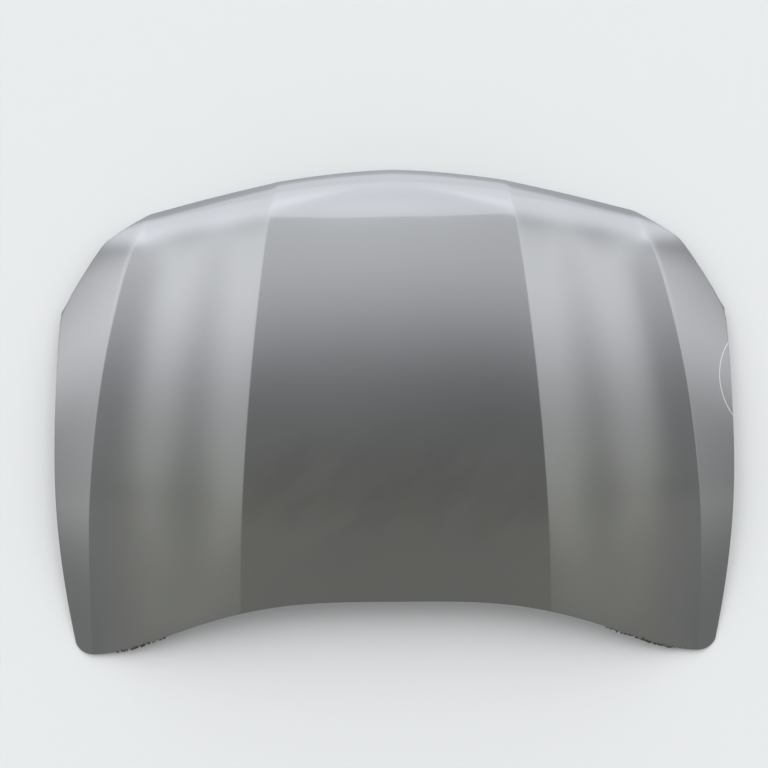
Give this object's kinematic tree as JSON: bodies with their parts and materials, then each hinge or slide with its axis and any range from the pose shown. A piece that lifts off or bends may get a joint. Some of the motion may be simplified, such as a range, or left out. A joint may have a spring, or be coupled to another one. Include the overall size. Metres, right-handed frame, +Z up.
{
  "type": "car bonnet",
  "caption": "Pressed steel car bonnet with a domed centre between two crease lines, a rolled nose, angled lamp corners and a stamped frame under its skin.",
  "frame": {"origin": "centre of the bounding box in plan, on the level that the rim rests on", "axes": "+X across the car, to the right of the picture; +Y towards the nose; +Z up, out of the painted skin"},
  "size_m": [1.474, 1.064, 0.1302],
  "materials": {
    "skin_paint": "metallic clear-coated paint, lightly dusty",
    "frame_paint": "thin satin body paint",
    "plate_steel": "dull primed steel",
    "zinc_steel": "zinc plated",
    "buffer_rubber": "matt",
    "mastic": "matt"
  },
  "bodies": {
    "root": {"outer_skin": "skin_paint", "inner_frame": "frame_paint", "hinge_reinforcement_left": "plate_steel", "hinge_nut_left_rear": "zinc_steel", "hinge_nut_left_front": "zinc_steel", "hinge_reinforcement_right": "plate_steel", "hinge_nut_right_rear": "zinc_steel", "hinge_nut_right_front": "zinc_steel", "latch_reinforcement": "plate_steel", "striker_plate": "zinc_steel", "striker_loop": "zinc_steel", "striker_bolt_left": "zinc_steel", "striker_bolt_right": "zinc_steel", "buffer_front_left": "buffer_rubber", "buffer_front_right": "buffer_rubber", "buffer_side_left": "buffer_rubber", "buffer_side_right": "buffer_rubber", "mastic_centre_rear_rear": "mastic", "mastic_centre_rear_front": "mastic", "mastic_left_rear_rear": "mastic", "mastic_left_rear_front": "mastic", "mastic_right_rear_rear": "mastic", "mastic_right_rear_front": "mastic", "mastic_centre_middle_rear": "mastic", "mastic_centre_middle_front": "mastic", "mastic_left_middle_rear": "mastic", "mastic_left_middle_front": "mastic", "mastic_right_middle_rear": "mastic", "mastic_right_middle_front": "mastic", "mastic_centre_front_rear": "mastic", "mastic_centre_front_front": "mastic", "mastic_left_front_rear": "mastic", "mastic_left_front_front": "mastic", "mastic_right_front_rear": "mastic", "mastic_right_front_front": "mastic"}
  },
  "joints": []
}
